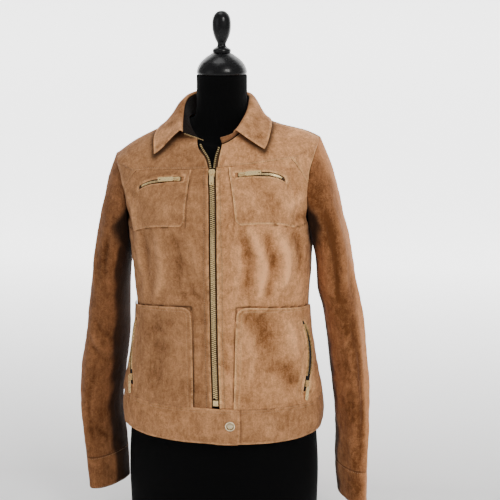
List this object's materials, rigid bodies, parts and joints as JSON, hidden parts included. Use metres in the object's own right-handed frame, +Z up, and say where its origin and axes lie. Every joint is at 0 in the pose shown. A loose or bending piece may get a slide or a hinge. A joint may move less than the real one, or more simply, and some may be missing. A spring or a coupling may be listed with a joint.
{
  "type": "zip jacket on a limbless dress form",
  "caption": "Short suede jacket with a collar, zip front, chest and lower patch pockets and a waistband with a snap tab, worn by a limbless dress form with a neck cap and finial.",
  "frame": {"origin": "centre of the flat foot of the form", "axes": "+Z up, -Y towards the front of the jacket, +X towards the left side of whoever wears it"},
  "size_m": [0.5486, 0.2605, 0.982],
  "materials": {
    "suede": "mottled tan suede nap",
    "lining": "dark plain weave",
    "zip_tape": "brown woven tape",
    "zip_brass": "pale polished",
    "snap_metal": "pale polished",
    "jersey": "black jersey",
    "lacquer": "black lacquer"
  },
  "bodies": {
    "jacket_on_form": {"form_torso": "jersey", "form_neck_cap": "lacquer", "form_finial": "lacquer", "front_right": "suede", "yoke_front_right": "suede", "sleeve_right": "suede", "cuff_right": "suede", "chest_pocket_right": "suede", "lower_pocket_right": "suede", "pocket_lining_right": "lining", "front_tape_right": "zip_tape", "zip_row_right": "zip_brass", "front_left": "suede", "yoke_front_left": "suede", "sleeve_left": "suede", "cuff_left": "suede", "chest_pocket_left": "suede", "lower_pocket_left": "suede", "pocket_lining_left": "lining", "front_tape_left": "zip_tape", "zip_row_left": "zip_brass", "back_panel": "suede", "waistband_right": "suede", "waistband_left": "suede", "waistband_back": "suede", "collar_stand": "suede", "collar_fall": "suede", "chest_chain_right": "zip_brass", "mouth_row_inner_right": "zip_brass", "mouth_row_outer_right": "zip_brass", "chest_chain_left": "zip_brass", "mouth_row_inner_left": "zip_brass", "mouth_row_outer_left": "zip_brass", "front_chain": "zip_brass", "slider_front": "zip_brass", "slider_chest_right": "zip_brass", "slider_pocket_right": "zip_brass", "slider_chest_left": "zip_brass", "slider_pocket_left": "zip_brass", "front_zip_box": "zip_brass", "snap": "snap_metal"},
    "pull_front_tab": {"pull_front": "zip_brass"},
    "pull_chest_right_tab": {"pull_chest_right": "zip_brass"},
    "pull_pocket_right_tab": {"pull_pocket_right": "zip_brass"},
    "pull_chest_left_tab": {"pull_chest_left": "zip_brass"},
    "pull_pocket_left_tab": {"pull_pocket_left": "zip_brass"}
  },
  "joints": [
    {"name": "pull_front_hinge", "type": "hinge", "parent": "jacket_on_form", "child": "pull_front_tab", "pos_m": [-0.00298, -0.09802, 0.70786], "axis": [-0.9977, 0.0139, -0.0658], "range_deg": [0, 160]},
    {"name": "pull_chest_right_hinge", "type": "hinge", "parent": "jacket_on_form", "child": "pull_chest_right_tab", "pos_m": [-0.06402, -0.10181, 0.69683], "axis": [-0.0494, 0.458, 0.8876], "range_deg": [0, 160]},
    {"name": "pull_pocket_right_hinge", "type": "hinge", "parent": "jacket_on_form", "child": "pull_pocket_right_tab", "pos_m": [-0.16508, -0.06496, 0.31711], "axis": [-0.6136, 0.7054, -0.3549], "range_deg": [0, 160]},
    {"name": "pull_chest_left_hinge", "type": "hinge", "parent": "jacket_on_form", "child": "pull_chest_left_tab", "pos_m": [0.05013, -0.10181, 0.70699], "axis": [0.1077, -0.459, -0.8819], "range_deg": [0, 160]},
    {"name": "pull_pocket_left_hinge", "type": "hinge", "parent": "jacket_on_form", "child": "pull_pocket_left_tab", "pos_m": [0.16708, -0.06496, 0.31758], "axis": [-0.6132, -0.7084, 0.3496], "range_deg": [0, 160]}
  ]
}
